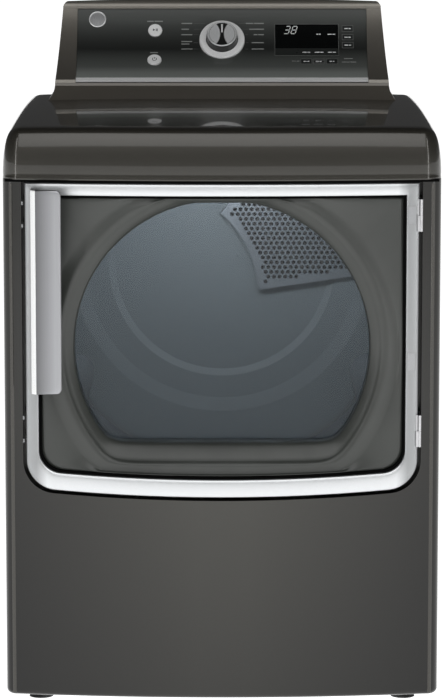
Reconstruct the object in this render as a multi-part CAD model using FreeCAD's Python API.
"""Front-loading clothes dryer with a bowed steel front, a side-hung window door and a rear console.

Millimetres, +Z up, origin on the floor under the middle of the machine. The door faces -Y.
"""
import FreeCAD
import Part
import math
import os

V = FreeCAD.Vector

# Cabinet
HALF_WIDTH = 354.5        # outer faces of the cabinet's sides
FRONT = -360.0            # front-most line of the bowed front, at X = 0
BACK = 358.0              # outer face of the rear panel
BOW = 2100.0              # plan radius of the bowed front
CAB_BOTTOM = 15.0
SEAM = 866.0              # top of the cabinet, where the lid sits
SHEET = 1.0
CORNER = 18.0             # vertical front corners
FLANGE = 14.0
COLUMN_DEPTH = FRONT + 78 # the recess for the door ends here, on the front bulkhead

# Lid
LID_HALF = 355.5
LID_TOP = 958.0
LID_CROWN = 10900.0       # radius of the lid's slight crown, front to back
LID_CROWN_Y = 30.0
LID_WALL = 1.2

# Door
DOOR_HALF = 318.5
DOOR_TOP = 862.0
DOOR_BOTTOM = 350.0
DOOR_SAG = 3950.0         # radius of the door's curved bottom edge
DOOR_CORNER = 50.0
DOOR_GAP = 5.3
RING_SIDE = 21.0
RING_TOP = 20.5
RING_BOTTOM = 29.5
HINGE_X = 321.4
HINGE_Y = FRONT + 21.0
PIN_R = 1.5
KNUCKLE_R = 2.5
HINGE_ZS = (809.0, 456.5)
KNUCKLE_HALF = 26.0

# Window and loading opening, circles cut flat at the bottom
PORT_Z = 592.0
WINDOW_R = 240.0
WINDOW_BOTTOM = 436.0
WINDOW_TOP = 828.0
MOUTH_R = 260.0
MOUTH_BOTTOM = 404.0
MOUTH_TOP = 838.0
GLASS_Y = FRONT + 60
LOAD_R = 248.0            # loading opening in the front bulkhead, a little larger than the window
LOAD_BOTTOM = 420.0
LOAD_TOP = 836.0

# Drum
DRUM_Z = 612.0
DRUM_R = 322.0
DRUM_FRONT = FRONT + 142
DRUM_BACK = FRONT + 658
NECK_R = 310.0
SUPPORT_Y = FRONT + 132
BULKHEAD_Y = FRONT + 664  # plate of the rear bulkhead
BOSS_Y = FRONT + 644      # front face of the part drawn into the drum
BOSS_R = 312.0
DISH_Z = 651.0            # centre of the stamped rings in the rear bulkhead
DISH_RADII = (266.0, 242.0, 202.0, 190.0)
DISH_STEP = 5.0
BELT_Y = FRONT + 425
BELT_WIDTH = 9.0
BELT_GAP = 0.4
BELT_THICK = 1.6
ROLLER_R = 38.0
ROLLER_ANGLE = math.radians(38)
ROLLER_Y = FRONT + 631
AXLE_R = 5.0
RUN = 0.05                # radial clearance of a shaft in its bore

# Drive and air path
MOTOR_X = -185.0
MOTOR_Z = 165.0
MOTOR_R = 62.0
SHAFT_R = 6.0
PULLEY_R = 10.0
BLOWER_R = 115.0
BLOWER_FRONT = FRONT + 150
BLOWER_BACK = FRONT + 225
EXHAUST_Z = 101.0
EXHAUST_R = 50.8
EXHAUST_END = BACK + 28
IDLER_X = -88.0
IDLER_Z = 236.0
IDLER_R = 20.0
IDLER_PIVOT = (-105.0, 128.0)

# Console: a concave fascia, its arc seen from the side
FASCIA_R = 235.0
FASCIA_CY = FRONT + 432.5
FASCIA_CZ = 1195.9
FASCIA_LOW = 62.2         # elevation of the fascia's normal at its lower edge
FASCIA_HIGH = 22.2
FASCIA_HALF = 256.0
FASCIA_THICK = 3.0
CONSOLE_TOP = 1124.0
KNOB = (0.0, 37.6)        # X, and elevation of the fascia's normal there
START = (-118.1, 32.5)
POWER = (-118.9, 48.4)
BUTTON_R = 12.4
KNOB_R = 26.8
KNOB_FACE = 22.5          # height of the knob's face over the fascia
KNOB_SHAFT_R = 3.0
PLATE = 1.5                # wall of the door's inner panel
EMBOSS_HALF = 236.0       # half the width of the rear panel's raised field

FOOT_XS = (-300.0, 300.0)
FOOT_YS = (-275.0, 300.0)


def box(x0, x1, y0, y1, z0, z1):
    return Part.makeBox(x1 - x0, y1 - y0, z1 - z0, V(x0, y0, z0))


def rod(x, z, y0, y1, r):
    """A round bar along Y."""
    return Part.makeCylinder(r, y1 - y0, V(x, y0, z), V(0, 1, 0))


def post(x, y, z0, z1, r):
    """A round bar along Z."""
    return Part.makeCylinder(r, z1 - z0, V(x, y, z0), V(0, 0, 1))


def pipe(x, z, y0, y1, outer, inner):
    return rod(x, z, y0, y1, outer).cut(rod(x, z, y0 - 1, y1 + 1, inner))


def join(shapes):
    whole = shapes[0]
    if len(shapes) > 1:
        whole = whole.multiFuse(shapes[1:])
    return whole.removeSplitter()


def xy(x, y):
    return V(x, y, 0)


def xz(x, z):
    return V(x, 0, z)


def yz(y, z):
    return V(0, y, z)


def outline(plane, start, *legs):
    """A closed wire. A leg is the next point, or (middle, end) of an arc."""
    edges = []
    here = plane(*start)
    for leg in legs + (start,):
        if isinstance(leg[0], tuple):
            there = plane(*leg[1])
            edges.append(Part.Arc(here, plane(*leg[0]), there).toShape())
        else:
            there = plane(*leg)
            if (there - here).Length < 1e-6:
                continue
            edges.append(Part.LineSegment(here, there).toShape())
        here = there
    return Part.Wire(edges)


def prism(wire, start, end):
    """A wire's area swept between two places along its own normal axis."""
    area = Part.Face(wire)
    spans = wire.BoundBox
    if spans.ZLength < 1e-6:
        axis = V(0, 0, 1)
    elif spans.YLength < 1e-6:
        axis = V(0, 1, 0)
    else:
        axis = V(1, 0, 0)
    area.translate(axis * start)
    return area.extrude(axis * (end - start))


def rounded(shape, radius, wanted):
    """Fillets the edges whose middle passes the test."""
    edges = [e for e in shape.Edges if wanted(e.CenterOfMass, e.BoundBox)]
    return shape.makeFillet(radius, edges)


def turned(points, z_centre, x_centre=0.0):
    """A solid of revolution about a line along Y; the points are (radius, y)."""
    corners = [V(x_centre + r, y, z_centre) for r, y in points]
    face = Part.Face(Part.makePolygon(corners + corners[:1]))
    return face.revolve(V(x_centre, 0, z_centre), V(0, 1, 0), 360)


def bow(x):
    return FRONT + BOW - math.sqrt(BOW * BOW - x * x)


def bow_slab(front, back, z0=0.0, z1=1000.0, half=400.0):
    """The space between two copies of the bowed front, moved back by the given amounts."""
    edge = bow(half)
    plan = outline(xy, (-half, edge + front), ((0, FRONT + front), (half, edge + front)),
                   (half, edge + back), ((0, FRONT + back), (-half, edge + back)))
    return prism(plan, z0, z1)


def plan_block(half, front, back, z0, z1, corner):
    """A block with the bowed front and rounded vertical front corners."""
    edge = bow(half) + front
    plan = outline(xy, (-half, edge), ((0, FRONT + front), (half, edge)), (half, back), (-half, back))
    block = prism(plan, z0, z1)
    return rounded(block, corner, lambda c, b: b.ZLength > 1 and b.XLength < 1e-3 and c.y < edge + 1)


def door_block(inset, top, y0, y1, base_inset=None):
    """The door's outline, moved inwards and swept along Y."""
    base_inset = inset if base_inset is None else base_inset
    w = DOOR_HALF - inset
    low = DOOR_BOTTOM + base_inset
    lift = w * w / (2 * DOOR_SAG)
    wire = outline(xz, (-w, top), (-w, low + lift), ((0, low), (w, low + lift)), (w, top))
    block = prism(wire, y0, y1)
    return rounded(block, DOOR_CORNER - inset * 0.6,
                   lambda c, b: b.YLength > 1 and b.XLength < 1e-3 and b.ZLength < 1e-3 and c.z < low + 30)


def port(radius, low, top, y, corner=14.0):
    """Outline of the window: a circle cut flat at the bottom and, slightly, at the top."""
    zc = low + corner
    reach = radius - corner
    xc = math.sqrt(reach ** 2 - (PORT_Z - zc) ** 2)
    tx = xc * radius / reach
    tz = PORT_Z + (zc - PORT_Z) * radius / reach
    mid = math.atan2(tz - PORT_Z, tx) / 2 - math.pi / 4
    mx = xc + corner * math.cos(mid)
    mz = zc + corner * math.sin(mid)
    ux = math.sqrt(radius ** 2 - (top - PORT_Z) ** 2)
    place = lambda x, z: V(x, y, z)
    return outline(place, (-xc, low), (xc, low), ((mx, mz), (tx, tz)), ((radius, PORT_Z), (ux, top)),
                   (-ux, top), ((-radius, PORT_Z), (-tx, tz)), ((-mx, mz), (-xc, low)))


def port_block(radius, low, top, y0, y1):
    return Part.Face(port(radius, low, top, y0)).extrude(V(0, y1 - y0, 0))


# ---- Cabinet ----

def side_panel(side):
    outer = HALF_WIDTH
    front = COLUMN_DEPTH + 2
    plates = [box(outer - SHEET, outer, front, BACK - SHEET, CAB_BOTTOM, SEAM),
              box(outer - FLANGE, outer, front, front + SHEET, CAB_BOTTOM, SEAM),
              box(outer - FLANGE, outer, BACK - 2 * SHEET, BACK - SHEET, CAB_BOTTOM, SEAM),
              box(outer - FLANGE, outer, front, BACK - SHEET, SEAM - SHEET, SEAM),
              box(outer - FLANGE, outer, front, BACK - SHEET, CAB_BOTTOM, CAB_BOTTOM + SHEET)]
    panel = join(plates)
    if side < 0:
        panel = panel.mirror(V(0, 0, 0), V(1, 0, 0))
    return panel


def rear_panel():
    inner = BACK - SHEET
    panel = box(-HALF_WIDTH, HALF_WIDTH, inner, BACK, CAB_BOTTOM, SEAM)
    panel = panel.fuse(box(-EMBOSS_HALF, EMBOSS_HALF, inner, BACK + 3, 330, 680))
    panel = panel.cut(box(-EMBOSS_HALF + 1, EMBOSS_HALF - 1, inner - 1, BACK + 2, 331, 679))
    cuts = [rod(0, EXHAUST_Z, inner - 5, BACK + 5, EXHAUST_R + 1.5),
            box(-300, -210, inner - 5, BACK + 5, 700, 780)]
    for row in range(8):
        z = 215 + 12 * row
        for x in (-250, -160, 130, 220):
            cuts.append(box(x - 32, x + 32, inner - 5, BACK + 5, z, z + 5))
    return panel.cut(Part.makeCompound(cuts)).removeSplitter()


def base_pan():
    x, y0, y1 = HALF_WIDTH - FLANGE - 1, FRONT + 42, BACK - 3
    z0 = CAB_BOTTOM + 1.2
    pan = box(-x, x, y0, y1, z0, z0 + 26).cut(box(-x + 1.2, x - 1.2, y0 + 1.2, y1 - 1.2, z0 + 1.2, 99))
    bosses = [post(fx, fy, z0, z0 + 18, 11) for fx in FOOT_XS for fy in FOOT_YS]
    bores = [post(fx, fy, z0 - 1, z0 + 19, AXLE_R + RUN) for fx in FOOT_XS for fy in FOOT_YS]
    return join([pan] + bosses).cut(Part.makeCompound(bores))


def front_panel():
    skin = plan_block(HALF_WIDTH, 0, COLUMN_DEPTH, CAB_BOTTOM, SEAM, CORNER)
    skin = rounded(skin, 9, lambda c, b: abs(c.z - CAB_BOTTOM) < 0.1 and c.y < COLUMN_DEPTH - 1)
    low = CAB_BOTTOM + 1.2
    inner = plan_block(HALF_WIDTH - 1.2, 1.2, COLUMN_DEPTH + 5, low, SEAM - 1.2, CORNER - 1.2)
    inner = rounded(inner, 7.8, lambda c, b: abs(c.z - low) < 0.1 and c.y < COLUMN_DEPTH - 1)
    hollow = inner.cut(door_block(-DOOR_GAP - 1.2, SEAM + 20, FRONT - 5, COLUMN_DEPTH + 6))
    panel = skin.cut(hollow)
    panel = panel.cut(door_block(-DOOR_GAP, SEAM + 20, FRONT - 10, COLUMN_DEPTH + 6))
    panel = panel.cut(box(-300, 300, FRONT + 33, 0, 0, CAB_BOTTOM + 1.3))
    return panel


def front_bulkhead():
    y0, y1 = COLUMN_DEPTH, COLUMN_DEPTH + SHEET
    plate = box(-332, 332, y0, y1, 325, SEAM - 2)
    throat = port_block(LOAD_R, LOAD_BOTTOM, LOAD_TOP, y0, SUPPORT_Y)
    hole = port_block(LOAD_R - 2, LOAD_BOTTOM + 2, LOAD_TOP - 2, y0 - 1, SUPPORT_Y + 1)
    panel = plate.fuse(throat).cut(hole)
    slots = [box(-127.5, 127.5, FRONT + 90, FRONT + 120, LOAD_BOTTOM - 6, LOAD_BOTTOM + 6),
             box(-292, -278, y0 - 1, y1 + 1, 582, 618),
             rod(285, 700, y0 - 1, y1 + 1, 4.6)]
    return panel.cut(Part.makeCompound(slots)).removeSplitter()


def drum_front_support():
    disc = turned([(0, SUPPORT_Y), (318, SUPPORT_Y), (318, SUPPORT_Y + 1.2), (307.2, SUPPORT_Y + 1.2),
                   (307.2, SUPPORT_Y + 32), (306, SUPPORT_Y + 32), (306, SUPPORT_Y + 1.2),
                   (0, SUPPORT_Y + 1.2)], DRUM_Z)
    hole = port_block(LOAD_R - 2, LOAD_BOTTOM + 2, LOAD_TOP - 2, SUPPORT_Y - 1, SUPPORT_Y + 2)
    return disc.cut(hole)


def drum_felt_seals():
    front = turned([(307.2, FRONT + 137), (NECK_R - 0.5, FRONT + 137), (NECK_R - 0.5, FRONT + 150),
                    (307.2, FRONT + 150)], DRUM_Z)
    rear = turned([(BOSS_R, BOSS_Y + 2), (DRUM_R - 1.5, BOSS_Y + 2), (DRUM_R - 1.5, BOSS_Y + 12),
                   (BOSS_R, BOSS_Y + 12)], DRUM_Z)
    return Part.makeCompound([front, rear])


def grille_wire(grow):
    """Outline of the hot-air grille: a corner sector of the drum's back wall."""
    g = grow
    return outline(xz, (69 - g, 607 - g), (222 + g, 629 - g), ((241 + g, 640), (244 + g, 662)),
                   ((234 + g, 712), (205 + g, 755 + g)), ((180, 786 + g), (150, 798 + g)),
                   (70, 798 + g), ((38 - g, 790 + g), (19 - g, 770 + g)), (-2 - g, 744),
                   ((28 - g, 712), (50 - g, 671)), ((59 - g, 645), (62 - g, 622)))


def rear_bulkhead():
    y0, t = BOSS_Y, 1.2
    plate = box(-336, 336, BULKHEAD_Y, BULKHEAD_Y + t, 250, 938)
    plate = plate.cut(rod(0, DRUM_Z, BULKHEAD_Y - 1, BULKHEAD_Y + 2, BOSS_R - t))
    rim = pipe(0, DRUM_Z, y0, BULKHEAD_Y + t, BOSS_R, BOSS_R - t)
    face = rod(0, DRUM_Z, y0, y0 + t, BOSS_R).cut(rod(0, DISH_Z, y0 - 1, y0 + 3, DISH_RADII[0]))
    a, b, c, d = DISH_RADII
    s = DISH_STEP
    dish = turned([(a, y0), (b, y0 + s), (c, y0 + s), (d, y0 + 2 * s), (0, y0 + 2 * s),
                   (0, y0 + 2 * s + t), (d, y0 + 2 * s + t), (c, y0 + s + t), (b, y0 + s + t),
                   (a, y0 + t)], DISH_Z)
    whole = plate.fuse([rim, face, dish]).removeSplitter()
    whole = whole.cut(prism(grille_wire(0), y0 - 5, BULKHEAD_Y - 2))
    screw = rod(27.8, 664, y0 + 5, y0 + 2 * s + 1, 3.0)
    return whole.fuse(screw).removeSplitter()


def rear_air_grille():
    """A raised sheet-metal grille with staggered hexagonal holes and a skirt."""
    front = BOSS_Y - 8
    skirt = prism(grille_wire(0), front, BOSS_Y + 14).cut(prism(grille_wire(-1.2), front + 1.2, BOSS_Y + 20))
    limit = prism(grille_wire(-9), front - 1, front + 3)
    pitch, across = 10.0, 7.0
    row_step = pitch * math.sqrt(3) / 2
    circum = across / math.sqrt(3)
    holes = []
    for row in range(24):
        z = 604 + row * row_step
        shift = pitch / 2 if row % 2 else 0.0
        for col in range(27):
            x = -12 + shift + col * pitch
            rim = [(x + circum * math.cos(math.radians(60 * k + 30)),
                    z + circum * math.sin(math.radians(60 * k + 30))) for k in range(6)]
            if all(limit.isInside(V(px, front, pz), 0.01, True) for px, pz in rim):
                points = [V(px, front - 1, pz) for px, pz in rim]
                holes.append(Part.Face(Part.makePolygon(points + points[:1])).extrude(V(0, 4, 0)))
    return skirt.cut(Part.makeCompound(holes))


def cabinet_hinges():
    """Fixed halves of the two hinges: a leaf on the column, an upper knuckle and its pin."""
    solids = []
    for z in HINGE_ZS:
        leaf = box(HINGE_X, DOOR_HALF + DOOR_GAP - 0.1, HINGE_Y + 1, HINGE_Y + 40, z - 26, z + 26)
        knuckle = post(HINGE_X, HINGE_Y, z + 0.3, z + KNUCKLE_HALF, KNUCKLE_R)
        leaf = leaf.cut(post(HINGE_X, HINGE_Y, z - 30, z + 30, KNUCKLE_R + 0.5))
        bridge = box(HINGE_X + 1.6, DOOR_HALF + DOOR_GAP - 0.1, HINGE_Y - 0.5, HINGE_Y + 4, z + 2, z + 26)
        pin = post(HINGE_X, HINGE_Y, z - KNUCKLE_HALF + 2, z + 2, PIN_R)
        solids.append(join([leaf, knuckle, bridge, pin]))
    return Part.makeCompound(solids)


def hinge_hole_plugs():
    """Blanking plugs in the hinge screw holes of the unused side."""
    x = -DOOR_HALF - DOOR_GAP
    plugs = []
    for z in (828, 791, 477, 439):
        plugs.append(Part.makeCylinder(5, 2.2, V(x, FRONT + 34, z), V(1, 0, 0)))
    return Part.makeCompound(plugs)


def door_catch():
    y = COLUMN_DEPTH + SHEET
    shell = box(-296, -274, y, y + 30, 575, 625).cut(box(-290.5, -279.5, y - 1, y + 26, 583, 617))
    return shell


def door_switch():
    y = COLUMN_DEPTH + SHEET
    return box(272, 298, y + 1, y + 32, 684, 716).cut(rod(285, 700, y, y + 30, 4.0 + RUN))


def door_switch_plunger():
    return rod(285, 700, COLUMN_DEPTH - 5.6, COLUMN_DEPTH + 22, 4.0)


def drum_lamp_lens():
    y = SUPPORT_Y + 1.2
    dome = Part.makeSphere(30, V(200, y - 22, 780)).common(box(150, 250, y, y + 20, 740, 830))
    return dome


def moisture_sensor_bars():
    y = SUPPORT_Y + 1.2
    return Part.makeCompound([box(-70, 70, y, y + 3, z, z + 7) for z in (372, 392)])


# ---- Lid ----

def lid_solid(inset):
    """The lid's outer form, or the same form moved inwards."""
    i = inset
    half = LID_HALF - i
    plan = plan_block(half, i - 1.0, BACK - i, SEAM, 1000, 34 - i)
    top_y = FRONT + 62
    top_z = LID_TOP - i - (top_y - LID_CROWN_Y) ** 2 / (2 * LID_CROWN)
    back_z = LID_TOP - i - (BACK - i - LID_CROWN_Y) ** 2 / (2 * LID_CROWN)
    side = outline(yz, (FRONT - 1 + i, SEAM), ((FRONT + 1 + i, SEAM + 26), (FRONT + 7 + i * 0.9, SEAM + 50 - i * 0.4)),
                   ((FRONT + 26 + i * 0.4, top_z - 13 - i * 0.3), (top_y, top_z)),
                   ((LID_CROWN_Y, LID_TOP - i), (BACK - i, back_z)), (BACK - i, SEAM))
    width = outline(xz, (-half, SEAM), (-half + 3, SEAM + 40),
                    ((-half + 10, SEAM + 77 - i * 0.4), (-half + 26, LID_TOP - 6 - i)),
                    ((0, LID_TOP + 0.5 - i), (half - 26, LID_TOP - 6 - i)),
                    ((half - 10, SEAM + 77 - i * 0.4), (half - 3, SEAM + 40)), (half, SEAM))
    return plan.common(prism(side, -400, 400)).common(prism(width, FRONT - 20, BACK + 20))


def top_lid():
    inner = lid_solid(LID_WALL)
    inner = inner.fuse(box(-LID_HALF + LID_WALL + 2, LID_HALF - LID_WALL - 2, FRONT + 40, BACK - LID_WALL,
                           SEAM - 5, SEAM + 1))
    return lid_solid(0).cut(inner)


# ---- Console ----

def fascia_point(elevation, lift=0.0):
    """A point over the fascia, where its normal has this elevation."""
    e = math.radians(elevation)
    r = FASCIA_R - lift
    return FASCIA_CY + r * math.cos(e), FASCIA_CZ - r * math.sin(e)


def on_fascia(shape, place):
    """Moves a shape drawn with +Z outwards and +Y up the fascia to its place there."""
    x, elevation = place
    y, z = fascia_point(elevation)
    shape.Placement = FreeCAD.Placement(V(x, y, z), FreeCAD.Rotation(V(1, 0, 0), 90 - elevation))
    return shape.copy()


def fascia_arc(lift):
    middle = (FASCIA_LOW + FASCIA_HIGH) / 2
    return fascia_point(middle, lift), fascia_point(FASCIA_HIGH, lift), fascia_point(FASCIA_LOW, lift)


def console_side(inset, lift=0.0):
    """The console seen from the side: base, concave fascia, rounded top and upright back."""
    i = inset
    middle, high, low = fascia_arc(lift - i)
    foot = (FRONT + 521 + i, LID_TOP - 4)
    back = BACK - i
    return outline(yz, foot, (low[0] - 2, low[1] - 9), low, (middle, high),
                   ((high[0] + 5, CONSOLE_TOP - 2.5 - i), (high[0] + 15, CONSOLE_TOP - i)),
                   ((back - 25, CONSOLE_TOP - 1 - i), (back - 12, CONSOLE_TOP - 12 - i)),
                   (back, LID_TOP - 4))


def console_front(inset):
    """The console seen from the front: a flared foot and a slightly arched top."""
    i = inset
    foot, waist, top = 304 - i, 292 - i, 280 - i
    z0 = LID_TOP - 4
    arch = CONSOLE_TOP - i
    return outline(xz, (-foot, z0), ((-waist - 3.5, z0 + 12), (-waist, z0 + 28)), (-top - 1.5, arch - 14),
                   ((-top + 0.5, arch - 8), (-top + 7, arch - 5.5)),
                   ((0, arch), (top - 7, arch - 5.5)), ((top - 0.5, arch - 8), (top + 1.5, arch - 14)),
                   (waist, z0 + 28), ((waist + 3.5, z0 + 12), (foot, z0)))


def console_solid(inset, lift=0.0):
    side = prism(console_side(inset, lift), -330, 330)
    return side.common(prism(console_front(inset), FRONT + 480, BACK + 10))


def console_split():
    """Height of the joint between the console's base and the parts above it."""
    return fascia_point(FASCIA_LOW)[1] - 4


def console_base():
    cut_z = console_split()
    shell = console_solid(0).cut(console_solid(3).fuse(box(-300, 300, FRONT + 526, BACK - 3, 940, 957)))
    shell = shell.common(box(-400, 400, FRONT + 480, BACK - 1.5, 900, cut_z))
    return shell.cut(lid_solid(0))


def console_top_space():
    return box(-400, 400, FRONT + 400, BACK + 10, console_split(), 1200)


def console_end_caps():
    """Two end cheeks, standing a little proud of the fascia."""
    cheek = console_solid(0, 1.6).cut(console_solid(3, 1.6)).common(console_top_space())
    solid = console_solid(0, 1.6).common(console_top_space())
    right = box(FASCIA_HALF, 400, FRONT + 400, BACK + 10, 900, 1200)
    wall = box(FASCIA_HALF, FASCIA_HALF + 3, FRONT + 400, BACK - 3, 900, 1200).common(solid)
    cap = cheek.common(right).fuse(wall).removeSplitter()
    cap = cap.cut(box(200, 400, BACK - 1.5, BACK + 1, 900, 1200))
    return Part.makeCompound([cap.mirror(V(0, 0, 0), V(1, 0, 0)), cap])


def console_back_cover():
    """Top and back of the console between the end cheeks, with a lip over the fascia."""
    shell = console_solid(0).cut(console_solid(2)).common(console_top_space())
    high_y, high_z = fascia_point(FASCIA_HIGH)
    behind = box(-FASCIA_HALF, FASCIA_HALF, high_y - 6, BACK + 10, 900, 1200)
    low_edge = box(-400, 400, FRONT + 400, BACK - 20, 900, high_z + 0.3)
    return shell.common(behind).cut(low_edge)


def fascia_band(low, high, lift_in, lift_out, half):
    """A strip that follows the fascia between two elevations."""
    mid = (low + high) / 2
    a, b, c = [fascia_point(e, lift_out) for e in (low, mid, high)]
    d, e, f = [fascia_point(v, lift_in) for v in (high, mid, low)]
    return prism(outline(yz, a, (b, c), d, (e, f)), -half, half)


def console_fascia():
    plate = fascia_band(FASCIA_LOW - 2.2, FASCIA_HIGH + 0.2, -FASCIA_THICK, 0, FASCIA_HALF - 0.2)
    shaft = on_fascia(post(0, 0, -30, 30, KNOB_SHAFT_R + 1), KNOB)
    for place in (START, POWER):
        plate = plate.cut(on_fascia(post(0, 0, -30, 30, BUTTON_R + 0.5), place))
    return plate.cut(shaft)


def console_trim_strip():
    return fascia_band(FASCIA_LOW, FASCIA_LOW - 2.0, -FASCIA_THICK, 0.8, FASCIA_HALF - 0.2)


def control_board():
    board = box(-215, 232, -50, 48, -16.5, -15)
    switch = post(0, 0, -15, -7, 10).cut(post(0, 0, -16, 0, KNOB_SHAFT_R + RUN))
    parts = board.fuse(switch)
    parts = parts.cut(post(0, 0, -20, -14, KNOB_SHAFT_R + 1))
    return on_fascia(parts.removeSplitter(), KNOB)


def knob_bezel():
    ring = post(0, 0, 0, 6.5, 40)
    ring = rounded(ring, 2.5, lambda c, b: c.z > 6)
    ring = on_fascia(ring.cut(post(0, 0, -1, 7, 28.5)), KNOB)
    return ring.cut(fascia_band(FASCIA_LOW, FASCIA_HIGH, -30, 0, 60))


def selector_knob():
    """Round knob: a skirt, a slightly tapered grip, two sunk lens-shaped fields and a pointer slot."""
    skirt = post(0, 0, 2.2, 8, 27.8)
    grip = Part.makeCone(27.4, KNOB_R - 0.4, KNOB_FACE - 7, V(0, 0, 7))
    knob = skirt.fuse(grip)
    knob = rounded(knob, 1.8, lambda c, b: c.z > KNOB_FACE - 0.5)
    field = post(0, 0, KNOB_FACE - 1.0, KNOB_FACE + 5, KNOB_R - 3.4)
    for side in (-1, 1):
        knob = knob.cut(field.common(post(side * 38, 0, KNOB_FACE - 1.0, KNOB_FACE + 5, 34)))
    knob = knob.cut(box(-0.9, 0.9, 4, KNOB_R - 4, KNOB_FACE - 0.8, KNOB_FACE + 5))
    shaft = post(0, 0, -14, 3, KNOB_SHAFT_R)
    return on_fascia(knob.fuse(shaft).removeSplitter(), KNOB)


def push_button(place):
    """A round button with a softened rim; its flange behind the fascia keeps it in."""
    cap = rounded(post(0, 0, -5.5, 3.0, BUTTON_R), 1.6, lambda c, b: c.z > 2.9)
    flange = post(0, 0, -6.5, -4.5, BUTTON_R + 2.8)
    return on_fascia(cap.fuse(flange).removeSplitter(), place)


# ---- Door ----

def door_ring():
    outer = door_block(0, DOOR_TOP, FRONT - 20, FRONT + 80)
    inner = door_block(RING_SIDE, DOOR_TOP - RING_TOP, FRONT - 25, FRONT + 85, RING_BOTTOM)
    ring = outer.cut(inner).common(bow_slab(-1.5, 9))
    for z in HINGE_ZS:
        ring = ring.cut(box(HINGE_X - 6, 330, FRONT - 5, FRONT + 60, z - 27, z + 27))
    for z0, z1 in ((796, 824), (556, 585)):
        ring = ring.cut(rounded(box(299.8, 313.2, FRONT - 5, FRONT + 80, z0, z1), 3,
                                lambda c, b: b.YLength > 1 and b.XLength < 1e-3 and b.ZLength < 1e-3))
    return ring


def hinge_screw_covers():
    covers = []
    for z0, z1 in ((796, 824), (556, 585)):
        block = rounded(box(300, 313, FRONT - 5, FRONT + 80, z0 + 0.2, z1 - 0.2), 2.8,
                        lambda c, b: b.YLength > 1 and b.XLength < 1e-3 and b.ZLength < 1e-3)
        covers.append(block.common(bow_slab(-2.1, 3)))
    return Part.makeCompound(covers)


def funnel(grow):
    """The tapered well of the window, from its mouth to the glass."""
    mouth = port(MOUTH_R + grow, MOUTH_BOTTOM - grow, MOUTH_TOP - 1 + grow, FRONT + 8)
    end = port(WINDOW_R + grow, WINDOW_BOTTOM - grow, WINDOW_TOP + grow, GLASS_Y)
    return Part.makeLoft([mouth, end], True, True)


def door_liner():
    """Dark panel inside the ring: a bowed border, a raised bead and the well down to the glass."""
    inner = door_block(RING_SIDE + 0.3, DOOR_TOP - RING_TOP - 0.3, FRONT - 20, FRONT + 90, RING_BOTTOM + 0.3)
    well = funnel(0)
    plate = inner.common(bow_slab(12, 15)).cut(well)
    mouth_bore = port_block(MOUTH_R - 1, MOUTH_BOTTOM + 1, MOUTH_TOP - 2, FRONT - 5, FRONT + 9)
    wall = funnel(3).cut(well).cut(mouth_bore).common(bow_slab(12, 90)).common(inner)
    bead = port_block(MOUTH_R + 6, MOUTH_BOTTOM - 6, MOUTH_TOP + 3, FRONT, FRONT + 60)
    bead = bead.cut(port_block(MOUTH_R + 1, MOUTH_BOTTOM - 1, MOUTH_TOP - 1, FRONT - 5, FRONT + 65))
    bead = bead.common(bow_slab(9, 12.5)).common(inner)
    return join([plate, wall, bead])


def door_window():
    return port_block(WINDOW_R + 7, WINDOW_BOTTOM - 7, WINDOW_TOP + 7, GLASS_Y + 0.1, GLASS_Y + 4)


def door_back_frame():
    """The door's inner panel with its side walls; the glass sits in its rebate."""
    front, back = FRONT + 9, FRONT + 72
    body = door_block(2.5, DOOR_TOP - 2.5, FRONT, back)
    inside = door_block(4.0, DOOR_TOP - 4.0, FRONT - 5, back - PLATE)
    around = port_block(WINDOW_R + 11, WINDOW_BOTTOM - 11, WINDOW_TOP + 9.5, GLASS_Y + 1, back)
    frame = body.cut(inside.cut(around)).common(bow_slab(9.1, 200))
    frame = frame.cut(port_block(WINDOW_R, WINDOW_BOTTOM, WINDOW_TOP, FRONT, back + 5))
    rim = port_block(WINDOW_R + 11, WINDOW_BOTTOM - 11, WINDOW_TOP + 9.5, GLASS_Y + 1, back)
    rim = rim.cut(port_block(WINDOW_R, WINDOW_BOTTOM, WINDOW_TOP, FRONT, back + 5))
    frame = frame.fuse(rim)
    frame = frame.cut(port_block(WINDOW_R + 7.2, WINDOW_BOTTOM - 7.2, WINDOW_TOP + 7.2, FRONT, GLASS_Y + 4.1))
    for z in HINGE_ZS:
        frame = frame.cut(box(HINGE_X - 6, 330, FRONT - 5, FRONT + 61, z - 28, z + 28))
    return frame.removeSplitter()


def door_seal():
    y0, y1 = FRONT + 72, COLUMN_DEPTH - 0.5
    ring = port_block(LOAD_R + 16, LOAD_BOTTOM - 16, LOAD_TOP + 16, y0, y1)
    return ring.cut(port_block(LOAD_R + 6, LOAD_BOTTOM - 6, LOAD_TOP + 6, y0 - 1, y1 + 1))


def door_hinges():
    """Door halves of the hinges: a leaf let into the door's edge and the lower knuckle."""
    solids = []
    for z in HINGE_ZS:
        leaf = box(HINGE_X - 5.9, HINGE_X - 3.4, HINGE_Y + 2, FRONT + 60, z - 26, z + 26)
        bridge = box(HINGE_X - 5.9, HINGE_X, HINGE_Y - 1.2, HINGE_Y + 2.5, z - KNUCKLE_HALF, z - 0.3)
        knuckle = post(HINGE_X, HINGE_Y, z - KNUCKLE_HALF, z - 0.3, KNUCKLE_R)
        half = join([leaf, bridge, knuckle])
        half = half.cut(post(HINGE_X, HINGE_Y, z - 30, z + 30, PIN_R + RUN))
        half = half.cut(post(HINGE_X, HINGE_Y, z - 0.3, z + 30, KNUCKLE_R + 0.5))
        solids.append(half)
    return Part.makeCompound(solids)


def door_strike():
    y = FRONT + 72
    tongue = box(-287.5, -282.5, y, y + 26, 588, 612)
    tongue = tongue.cut(box(-290, -280, y + 12, y + 20, 594, 606))
    return tongue.fuse(box(-294, -276, y, y + 2, 582, 618)).removeSplitter()


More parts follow.
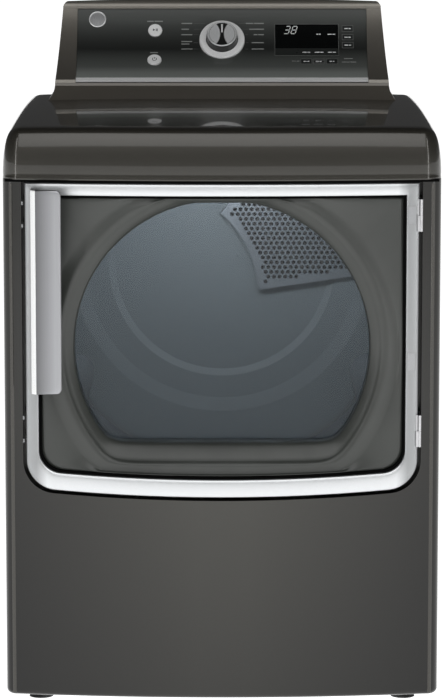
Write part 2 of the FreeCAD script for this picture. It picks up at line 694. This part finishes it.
def door_handle():
    """An upright grip of angle section, standing off the ring on its left wall."""
    x0, x1 = -307.0, -258.0
    z0, z1 = 524.0, 854.0
    front = FRONT - 26
    wall = box(x0, x0 + 8, front, bow(x0) - 1.2, z0, z1)
    face = box(x0, x1, front, front + 7, z0, z1)
    grip = wall.fuse(face).removeSplitter()
    grip = rounded(grip, 7, lambda c, b: b.YLength > 1 and b.XLength < 1e-3 and b.ZLength < 1e-3 and c.x > x1 - 1)
    grip = rounded(grip, 2.2, lambda c, b: c.y < front + 0.1)
    space = bow_slab(-1.5, 60, z0 - 5, z1 + 5)
    return grip.cut(space)


# ---- Drum, rollers and belt ----

def drum_shell():
    a, r, y0, y1 = NECK_R, DRUM_R, DRUM_FRONT, DRUM_BACK
    return turned([(a, y0), (r, y0), (r, y1), (r - 1, y1), (r - 1, y0 + 1), (a, y0 + 1)], DRUM_Z)


def drum_baffles():
    solids = []
    length = (DRUM_FRONT + 30, BOSS_Y - 25)
    for k in range(3):
        wire = outline(xz, (-44, -DRUM_R - 2), (-30, -DRUM_R + 26), ((-22, -DRUM_R + 44), (0, -DRUM_R + 52)),
                       ((22, -DRUM_R + 44), (30, -DRUM_R + 26)), (44, -DRUM_R - 2))
        fin = prism(wire, *length)
        wire = outline(xz, (-40.5, -DRUM_R - 6), (-27, -DRUM_R + 25), ((-19.5, -DRUM_R + 41.5), (0, -DRUM_R + 49)),
                       ((19.5, -DRUM_R + 41.5), (27, -DRUM_R + 25)), (40.5, -DRUM_R - 6))
        fin = fin.cut(prism(wire, length[0] + 3, length[1] - 3))
        fin = fin.common(rod(0, 0, length[0] - 1, length[1] + 1, DRUM_R - 1))
        fin.rotate(V(0, 0, 0), V(0, 1, 0), 60 + 120 * k)
        fin.translate(V(0, 0, DRUM_Z))
        solids.append(fin)
    return Part.makeCompound(solids)


def roller_place(side):
    reach = DRUM_R + ROLLER_R + 0.4
    return side * reach * math.sin(ROLLER_ANGLE), DRUM_Z - reach * math.cos(ROLLER_ANGLE)


def roller(side):
    x, z = roller_place(side)
    y = ROLLER_Y
    wheel = turned([(AXLE_R + RUN, y), (ROLLER_R - 1, y), (ROLLER_R, y + 1), (ROLLER_R, y + 19),
                    (ROLLER_R - 1, y + 20), (AXLE_R + RUN, y + 20)], z, x)
    return wheel


def roller_axles():
    solids = []
    for side in (-1, 1):
        x, z = roller_place(side)
        axle = rod(x, z, ROLLER_Y - 4, BULKHEAD_Y, AXLE_R)
        clip = pipe(x, z, ROLLER_Y - 3, ROLLER_Y - 1, AXLE_R + 4, AXLE_R - 0.5)
        foot = pipe(x, z, ROLLER_Y + 21, BULKHEAD_Y, AXLE_R + 5, AXLE_R - 0.5)
        solids.append(join([axle, clip, foot]))
    return Part.makeCompound(solids)


def tangent(c1, r1, c2, r2):
    """Ends of the line that leaves one circle and meets the next; a negative radius turns the other way."""
    dx, dz = c2[0] - c1[0], c2[1] - c1[1]
    span = math.hypot(dx, dz)
    cos_a = (r1 - r2) / span
    sin_a = math.sqrt(1 - cos_a * cos_a)
    ux, uz = dx / span, dz / span
    nx, nz = ux * cos_a + uz * sin_a, uz * cos_a - ux * sin_a
    return (c1[0] + r1 * nx, c1[1] + r1 * nz), (c2[0] + r2 * nx, c2[1] + r2 * nz)


def belt_loop(circles):
    """A closed wire round the circles, taken in counter-clockwise order."""
    count = len(circles)
    runs = [tangent(*circles[i], *circles[(i + 1) % count]) for i in range(count)]
    start = runs[0][0]
    legs = []
    for i in range(count):
        out, into = runs[i]
        (cx, cz), r = circles[(i + 1) % count]
        leave = runs[(i + 1) % count][0]
        a0 = math.atan2(into[1] - cz, into[0] - cx)
        a1 = math.atan2(leave[1] - cz, leave[0] - cx)
        turn = (a1 - a0) % (2 * math.pi) if r > 0 else -((a0 - a1) % (2 * math.pi))
        mid = a0 + turn / 2
        legs += [into, ((cx + abs(r) * math.cos(mid), cz + abs(r) * math.sin(mid)), leave)]
    return outline(xz, start, *legs)


def drive_belt():
    g, t = BELT_GAP, BELT_THICK

    def loop(inside, outside):
        return belt_loop([((0.0, DRUM_Z), DRUM_R + inside), ((MOTOR_X, MOTOR_Z), PULLEY_R + inside),
                          ((IDLER_X, IDLER_Z), -(IDLER_R + outside))])

    y0 = BELT_Y - BELT_WIDTH / 2
    y1 = BELT_Y + BELT_WIDTH / 2
    return prism(loop(g + t, g), y0, y1).cut(prism(loop(g, g + t), y0 - 1, y1 + 1))


def idler_pulley():
    y0, y1 = BELT_Y - 7, BELT_Y + 7
    wheel = turned([(AXLE_R + RUN, y0), (IDLER_R + 3, y0), (IDLER_R, y0 + 2), (IDLER_R, y1 - 2),
                    (IDLER_R + 3, y1), (AXLE_R + RUN, y1)], IDLER_Z, IDLER_X)
    return wheel


def idler_arm():
    """Arm of the idler, with the pulley's axle; it turns on a pin of the motor bracket."""
    px, pz = IDLER_PIVOT
    y0, y1 = BELT_Y + 9, BELT_Y + 13
    dx, dz = IDLER_X - px, IDLER_Z - pz
    reach = math.hypot(dx, dz)
    bar = box(0, reach, y0, y1, -8, 8)
    bar.rotate(V(0, 0, 0), V(0, 1, 0), -math.degrees(math.atan2(dz, dx)))
    bar.translate(V(px, 0, pz))
    arm = join([bar, rod(px, pz, y0, y1, 13), rod(IDLER_X, IDLER_Z, y0, y1, 10),
                rod(IDLER_X, IDLER_Z, BELT_Y - 9, y0 + 1, AXLE_R)])
    return arm.cut(rod(px, pz, y0 - 1, y1 + 1, AXLE_R + RUN))


# ---- Motor, blower, heater ----

def motor_body():
    y0, y1 = FRONT + 270, FRONT + 396
    shell = rounded(rod(MOTOR_X, MOTOR_Z, y0, y1, MOTOR_R), 8, lambda c, b: b.YLength < 1e-3)
    bore = rod(MOTOR_X, MOTOR_Z, y0 - 1, y1 + 1, SHAFT_R + RUN)
    return shell.cut(bore)


def motor_rotor():
    """Shaft with the belt pulley on its rear end."""
    y1 = BELT_Y + 9
    pulley = turned([(0, BELT_Y - 8), (PULLEY_R + 3, BELT_Y - 8), (PULLEY_R, BELT_Y - 6),
                     (PULLEY_R, BELT_Y + 6), (PULLEY_R + 3, BELT_Y + 8), (0, BELT_Y + 8)], MOTOR_Z, MOTOR_X)
    return join([rod(MOTOR_X, MOTOR_Z, FRONT + 160, y1, SHAFT_R), pulley])


def blower_wheel():
    y0, y1 = BLOWER_FRONT + 8, BLOWER_BACK - 10
    back = pipe(MOTOR_X, MOTOR_Z, y1 - 2, y1, 96, SHAFT_R)
    hub = pipe(MOTOR_X, MOTOR_Z, y0 + 20, y1, 16, SHAFT_R)
    front = pipe(MOTOR_X, MOTOR_Z, y0, y0 + 2, 96, 70)
    blades = []
    count = 24
    for k in range(count):
        blade = box(72, 95, y0 + 1, y1 - 1, -1, 1)
        blade.rotate(V(84, 0, 0), V(0, 1, 0), 25)
        blade.rotate(V(0, 0, 0), V(0, 1, 0), 360 / count * k)
        blade.translate(V(MOTOR_X, 0, MOTOR_Z))
        blades.append(blade)
    return join([back, hub, front] + blades)


def motor_bracket():
    """Cradle on the base pan, with a rear upright that carries the idler's pivot pin."""
    z0 = CAB_BOTTOM + 2.4
    px, pz = IDLER_PIVOT
    x0, x1 = MOTOR_X - 60, MOTOR_X + 60
    base = box(x0, px + 20, FRONT + 280, FRONT + 460, z0, z0 + 3)
    cradle = box(x0, x1, FRONT + 285, FRONT + 381, z0, 124)
    cradle = cradle.cut(box(x0 + 3, x1 - 3, FRONT + 288, FRONT + 378, z0 + 3, 130))
    cradle = cradle.cut(rod(MOTOR_X, MOTOR_Z, FRONT + 250, FRONT + 420, MOTOR_R + 0.2))
    upright = box(px - 16, px + 16, BELT_Y + 16, BELT_Y + 19, z0, pz + 16)
    pin = rod(px, pz, BELT_Y + 7, BELT_Y + 17, AXLE_R)
    collar = rod(px, pz, BELT_Y + 14, BELT_Y + 17, 9)
    return join([base, cradle, upright, pin, collar])


def lint_duct_wire(grow):
    g = grow
    top = LOAD_BOTTOM - 7
    return outline(xz, (-130 - g, top), (-130 - g, 380), (-262 - g, 235), (-262 - g, 92 - g),
                   (-105 + g * 0.5, 92 - g), (130 + g, 285 - g * 0.5), (130 + g, top))


def lint_duct():
    y0, y1 = FRONT + 84, FRONT + 128
    duct = prism(lint_duct_wire(0), y0, y1)
    duct = duct.cut(prism(lint_duct_wire(-1.5), y0 + 1.5, y1 - 1.5))
    duct = duct.cut(box(-128.5, 128.5, y0 + 1.5, y1 - 1.5, LOAD_BOTTOM - 15, LOAD_BOTTOM))
    duct = duct.fuse(pipe(MOTOR_X, MOTOR_Z, y1 - 1.5, BLOWER_FRONT, 64, 62))
    return duct.cut(rod(MOTOR_X, MOTOR_Z, y1 - 10, BLOWER_FRONT + 1, 62)).removeSplitter()


def blower_housing():
    y0, y1 = BLOWER_FRONT, BLOWER_BACK
    low, high = EXHAUST_Z - 52, EXHAUST_Z + 52
    outer = rod(MOTOR_X, MOTOR_Z, y0, y1, BLOWER_R + 1).fuse(box(MOTOR_X, 60, y0, y1, low, high))
    inner = rod(MOTOR_X, MOTOR_Z, y0 + 2, y1 - 2, BLOWER_R - 1)
    inner = inner.fuse(box(MOTOR_X, 58, y0 + 2, y1 - 2, low + 2, high - 2))
    cuts = [inner, rod(MOTOR_X, MOTOR_Z, y0 - 1, y0 + 5, 62), rod(MOTOR_X, MOTOR_Z, y1 - 5, y1 + 1, 10),
            rod(0, EXHAUST_Z, y1 - 5, y1 + 1, EXHAUST_R - 1)]
    housing = outer
    for c in cuts:
        housing = housing.cut(c)
    return housing.removeSplitter()


def exhaust_duct():
    bore = EXHAUST_R - 1.6
    tube = pipe(0, EXHAUST_Z, BLOWER_BACK, EXHAUST_END, EXHAUST_R - 0.6, bore)
    flange = pipe(0, EXHAUST_Z, BLOWER_BACK, BLOWER_BACK + 1.5, EXHAUST_R + 6, bore)
    collar = pipe(0, EXHAUST_Z, BACK + 3, EXHAUST_END, EXHAUST_R, bore)
    return join([tube, flange, collar])


def heater_housing():
    """The heater's box under the drum and the duct that rises from it to the grille."""
    return join([heater_box(), heater_duct()])


def heater_box():
    y0, y1 = FRONT + 430, BULKHEAD_Y + 2
    shell = box(160, 290, y0, y1, 66, 196).cut(box(161.2, 288.8, y0 + 1.2, y1 + 1, 67.2, 194.8))
    slots = [box(175 + 16 * k, 183 + 16 * k, y0 - 1, y0 + 3, 90, 172) for k in range(7)]
    return shell.cut(Part.makeCompound(slots))


def heater_duct():
    y0, y1 = BULKHEAD_Y + 2, BACK - SHEET - 4
    outer = box(8, 292, y0, y1, 210, 812).fuse(box(158, 292, y0, y1, 64, 212))
    inner = box(9.2, 290.8, y0 - 1, y1 - 1.2, 211.2, 810.8)
    inner = inner.fuse(box(159.2, 290.8, y0 - 1, y1 - 1.2, 65.2, 215))
    cover = box(8, 292, y0, y0 + 1.2, 196, 245).cut(box(0, 158, y0 - 1, y1, 190, 210))
    return join([outer.cut(inner), cover])


def heater_coils():
    """Open resistance coils on mica boards, drawn as straight wires between their end boards."""
    y0, y1 = FRONT + 470, FRONT + 640
    boards = [box(165, 285, y, y + 3, 70, 192) for y in (y0, y1 - 3)]
    wires = [rod(180 + 18 * i, 92 + 26 * j, y0 + 2, y1 - 2, 4) for i in range(6) for j in range(4)]
    return join(boards + wires)


def terminal_cover():
    """Cover of the supply terminals, with the knock-out for the supply lead's clamp."""
    y = BACK
    shell = box(-306, -204, y, y + 24, 694, 786).cut(box(-304.8, -205.2, y - 1, y + 22.8, 695.2, 784.8))
    return shell.cut(post(-255, y + 11, 690, 697, 9.0))


def cabinet_screws():
    heads = []
    y = BACK
    for x in (-340, 340):
        for z in (60, 240, 420, 600, 840):
            heads.append(rod(x, z, y, y + 3, 4.5))
    for x in (-180, 0, 180):
        heads.append(rod(x, 850, y, y + 3, 4.5))
    for x in (-297, -213):
        heads.append(rod(x, 808, y, y + 3, 4.5))
    return Part.makeCompound(heads)


def lint_filter():
    """Frame, screen and ribs, with a low grip that stays under the edge of the loading opening."""
    y0, y1 = FRONT + 93, FRONT + 117
    low, high = LOAD_BOTTOM - 125, LOAD_BOTTOM - 1
    frame = box(-124, 124, y0, y1, low, high + 1).cut(box(-119, 119, y0 - 1, y1 + 1, low + 6, high - 6))
    mesh = box(-120, 120, y0 + 11, y0 + 12.5, low + 5, high - 5)
    lip = box(-124, 124, y0, y1, high, high + 4)
    grip = box(-40, 40, y0 + 8, y1 - 8, high + 3, high + 7)
    ribs = [box(x - 1.5, x + 1.5, y0 + 8, y0 + 15, low + 5, high - 5) for x in (-60, 0, 60)]
    return join([frame, mesh, lip, grip] + ribs)


def foot(x, y):
    pad = Part.makeCone(20, 16, 8, V(x, y, 0))
    nut = Part.makeBox(18, 18, 5, V(x - 9, y - 9, 8))
    return join([pad, nut, post(x, y, 8, 48, AXLE_R)])


def main():
    parts = {
        "left_side_panel": side_panel(-1), "right_side_panel": side_panel(1), "rear_panel": rear_panel(),
        "base_pan": base_pan(), "front_panel": front_panel(), "front_bulkhead": front_bulkhead(),
        "drum_front_support": drum_front_support(), "drum_felt_seals": drum_felt_seals(),
        "rear_bulkhead": rear_bulkhead(), "rear_air_grille": rear_air_grille(),
        "cabinet_hinges": cabinet_hinges(), "hinge_hole_plugs": hinge_hole_plugs(),
        "door_catch_and_switch": Part.makeCompound([door_catch(), door_switch()]),
        "door_switch_plunger": door_switch_plunger(), "drum_lamp_lens": drum_lamp_lens(),
        "moisture_sensor_bars": moisture_sensor_bars(), "top_lid": top_lid(),
        "console_base": console_base(), "console_end_caps": console_end_caps(),
        "console_back_cover": console_back_cover(), "console_fascia": console_fascia(),
        "console_trim_strip": console_trim_strip(), "control_board": control_board(),
        "knob_bezel": knob_bezel(), "selector_knob": selector_knob(),
        "start_button": push_button(START), "power_button": push_button(POWER),
        "door_ring": door_ring(), "hinge_screw_covers": hinge_screw_covers(), "door_liner": door_liner(),
        "door_window": door_window(), "door_back_frame": door_back_frame(), "door_seal": door_seal(),
        "door_hinges": door_hinges(), "door_strike": door_strike(), "door_handle": door_handle(),
        "drum_shell": drum_shell(), "drum_baffles": drum_baffles(), "roller_axles": roller_axles(),
        "drum_roller_left": roller(-1), "drum_roller_right": roller(1), "drive_belt": drive_belt(),
        "idler_pulley": idler_pulley(), "idler_arm": idler_arm(), "motor_body": motor_body(),
        "motor_rotor": motor_rotor(), "blower_wheel": blower_wheel(), "motor_bracket": motor_bracket(),
        "lint_duct": lint_duct(), "blower_housing": blower_housing(), "exhaust_duct": exhaust_duct(),
        "heater_housing": heater_housing(), "heater_coils": heater_coils(),
        "terminal_cover": terminal_cover(), "cabinet_screws": cabinet_screws(), "lint_filter": lint_filter(),
    }
    places = {"front_left": (FOOT_XS[0], FOOT_YS[0]), "front_right": (FOOT_XS[1], FOOT_YS[0]),
              "rear_left": (FOOT_XS[0], FOOT_YS[1]), "rear_right": (FOOT_XS[1], FOOT_YS[1])}
    for name, (x, y) in places.items():
        parts["foot_" + name] = foot(x, y)
    os.makedirs("parts", exist_ok=True)
    for name, shape in parts.items():
        if not shape.isValid() or shape.Volume <= 0:
            print("not valid:", name)
        solids = shape.Solids
        kept = solids[0] if len(solids) == 1 else Part.makeCompound(solids)
        kept.exportStep("parts/" + name + ".step")
        print(name, len(solids), round(shape.Volume / 1000, 1))


main()
